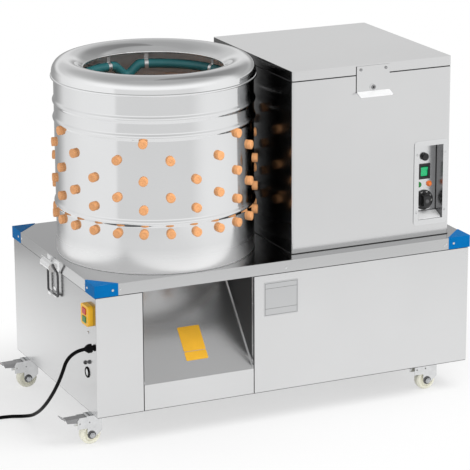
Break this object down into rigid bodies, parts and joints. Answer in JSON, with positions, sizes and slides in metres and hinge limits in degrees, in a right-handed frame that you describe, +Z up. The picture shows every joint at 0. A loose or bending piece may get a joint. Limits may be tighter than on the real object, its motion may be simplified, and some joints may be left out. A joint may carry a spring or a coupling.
{
  "type": "poultry plucker with scalding tank",
  "caption": "Wheeled stainless poultry plucker: open drum lined with rubber fingers over a belt-driven turntable and feather chute, with a lidded scalding tank.",
  "frame": {"origin": "On the floor under the middle of the deck.", "axes": "+X runs along the cabinet from the plucking drum to the scalding tank, -Y is the front with the feather chute and the controls, +Z is up."},
  "size_m": [1.3376, 0.5896, 0.9096],
  "materials": {
    "stainless": "satin brushed stainless sheet",
    "frame_steel": "satin square tube",
    "deck_steel": "smooth reflective sheet",
    "blue_paint": "glossy moulded protector",
    "zinc": "bright zinc plate",
    "rubber_finger": "matt natural rubber",
    "hose": "matt hose",
    "brass": "machined",
    "dark_steel": "semi-gloss paint",
    "steel": "machined steel",
    "belt": "matt rubber",
    "motor_paint": "semi-gloss paint",
    "black_plastic": "satin black plastic",
    "green_lens": "lit translucent lens",
    "lamp_lens": "translucent lens",
    "yellow_plastic": "moulded plastic",
    "red_plastic": "moulded plastic",
    "green_plastic": "moulded plastic",
    "wheel": "cream nylon tread",
    "cord": "matt sheath"
  },
  "bodies": {
    "cabinet": {"base_frame": "frame_steel", "left_panel": "stainless", "right_panel": "stainless", "back_panel": "stainless", "front_left_panel": "stainless", "front_right_panel": "stainless", "chute": "stainless", "deck": "deck_steel", "corner_protectors": "blue_paint", "fasteners": "zinc", "drum_shell": "stainless", "drum_rim": "stainless", "drum_fingers": "rubber_finger", "spray_hose": "hose", "spray_clips": "zinc", "water_inlet": "brass", "bearing_bridge": "dark_steel", "bearings": "steel", "drive_belt": "belt", "motor": "motor_paint", "motor_mount": "dark_steel", "tank_shell": "stainless", "tank_tub": "stainless", "heating_element": "steel", "control_pocket": "stainless", "rocker_frame": "black_plastic", "pilot_lamps": "lamp_lens", "lid_hinges": "zinc", "switch_frame": "yellow_plastic", "latch_plates": "zinc", "cord_gland": "black_plastic", "caster_plates": "zinc", "power_cord": "cord", "cord_coil": "cord", "cord_tie": "black_plastic", "cord_plug": "black_plastic"},
    "rotor": {"turntable": "stainless", "turntable_fingers": "rubber_finger", "rotor_shaft": "steel", "driven_pulley": "steel"},
    "motor_rotor": {"motor_pulley": "steel"},
    "lid": {"tank_lid": "stainless", "lid_handle": "stainless"},
    "rocker": {"rocker": "green_lens"},
    "reset": {"reset_button": "black_plastic"},
    "knob": {"thermostat_knob": "black_plastic"},
    "stop": {"stop_button": "red_plastic"},
    "start": {"start_button": "green_plastic"},
    "lever": {"latch_lever": "zinc"},
    "bail": {"latch_bail": "zinc"},
    "caster_front_left": {"fork_front_left": "zinc"},
    "caster_back_left": {"fork_back_left": "zinc"},
    "caster_front_right": {"fork_front_right": "zinc"},
    "caster_back_right": {"fork_back_right": "zinc"},
    "tyre_front_left": {"wheel_front_left": "wheel"},
    "tyre_back_left": {"wheel_back_left": "wheel"},
    "tyre_front_right": {"wheel_front_right": "wheel"},
    "tyre_back_right": {"wheel_back_right": "wheel"},
    "brake_front_left": {"pedal_front_left": "zinc"},
    "brake_back_left": {"pedal_back_left": "zinc"}
  },
  "joints": [
    {"name": "turntable_spin", "type": "hinge", "parent": "cabinet", "child": "rotor", "pos_m": [-0.24725, -0.031, 0.4435], "axis": [0, 0, 1], "continuous": true},
    {"name": "motor_spin", "type": "hinge", "parent": "cabinet", "child": "motor_rotor", "pos_m": [0.12875, -0.031, 0.265], "axis": [0, 0, 1], "continuous": true},
    {"name": "tank_lid_hinge", "type": "hinge", "parent": "cabinet", "child": "lid", "pos_m": [0.253, 0.2315, 0.861], "axis": [-1, 0, 0], "range_deg": [0, 95]},
    {"name": "rocker_tilt", "type": "hinge", "parent": "cabinet", "child": "rocker", "pos_m": [0.42225, -0.21, 0.583], "axis": [1, 0, 0], "range_deg": [-18, 0]},
    {"name": "reset_press", "type": "slide", "parent": "cabinet", "child": "reset", "axis": [0, 1, 0], "range_m": [0, 0.0025], "stiffness_N_per_m": 400},
    {"name": "thermostat_turn", "type": "hinge", "parent": "cabinet", "child": "knob", "pos_m": [0.42225, -0.216, 0.5075], "axis": [0, 1, 0], "range_deg": [0, 270]},
    {"name": "stop_press", "type": "slide", "parent": "cabinet", "child": "stop", "axis": [1, 0, 0], "range_m": [0, 0.003], "stiffness_N_per_m": 500},
    {"name": "start_press", "type": "slide", "parent": "cabinet", "child": "start", "axis": [1, 0, 0], "range_m": [0, 0.003], "stiffness_N_per_m": 500},
    {"name": "latch_turn", "type": "hinge", "parent": "cabinet", "child": "lever", "pos_m": [-0.53175, -0.015, 0.402], "axis": [0, -1, 0], "range_deg": [0, 110]},
    {"name": "bail_turn", "type": "hinge", "parent": "lever", "child": "bail", "pos_m": [-0.53175, -0.015, 0.409], "axis": [0, -1, 0], "range_deg": [-105.05, 0]},
    {"name": "swivel_front_left", "type": "hinge", "parent": "cabinet", "child": "caster_front_left", "pos_m": [-0.48575, -0.235, 0.078], "axis": [0, 0, 1], "continuous": true},
    {"name": "roll_front_left", "type": "hinge", "parent": "caster_front_left", "child": "tyre_front_left", "pos_m": [-0.51575, -0.235, 0.0265], "axis": [0, 1, 0], "continuous": true},
    {"name": "brake_front_left", "type": "hinge", "parent": "caster_front_left", "child": "brake_front_left", "pos_m": [-0.52075, -0.235, 0.0595], "axis": [0, -1, 0], "range_deg": [0, 12]},
    {"name": "swivel_back_left", "type": "hinge", "parent": "cabinet", "child": "caster_back_left", "pos_m": [-0.48575, 0.222, 0.078], "axis": [0, 0, 1], "continuous": true},
    {"name": "roll_back_left", "type": "hinge", "parent": "caster_back_left", "child": "tyre_back_left", "pos_m": [-0.51575, 0.222, 0.0265], "axis": [0, 1, 0], "continuous": true},
    {"name": "brake_back_left", "type": "hinge", "parent": "caster_back_left", "child": "brake_back_left", "pos_m": [-0.52075, 0.222, 0.0595], "axis": [0, -1, 0], "range_deg": [0, 12]},
    {"name": "swivel_front_right", "type": "hinge", "parent": "cabinet", "child": "caster_front_right", "pos_m": [0.45375, -0.235, 0.078], "axis": [0, 0, 1], "continuous": true},
    {"name": "roll_front_right", "type": "hinge", "parent": "caster_front_right", "child": "tyre_front_right", "pos_m": [0.42375, -0.235, 0.0265], "axis": [0, 1, 0], "continuous": true},
    {"name": "swivel_back_right", "type": "hinge", "parent": "cabinet", "child": "caster_back_right", "pos_m": [0.45375, 0.222, 0.078], "axis": [0, 0, 1], "continuous": true},
    {"name": "roll_back_right", "type": "hinge", "parent": "caster_back_right", "child": "tyre_back_right", "pos_m": [0.42375, 0.222, 0.0265], "axis": [0, 1, 0], "continuous": true}
  ],
  "couplings": [
    {"joint": "motor_spin", "follows": "turntable_spin", "ratio": 3.3333},
    {"joint": "bail_turn", "follows": "latch_turn", "ratio": -0.955}
  ]
}
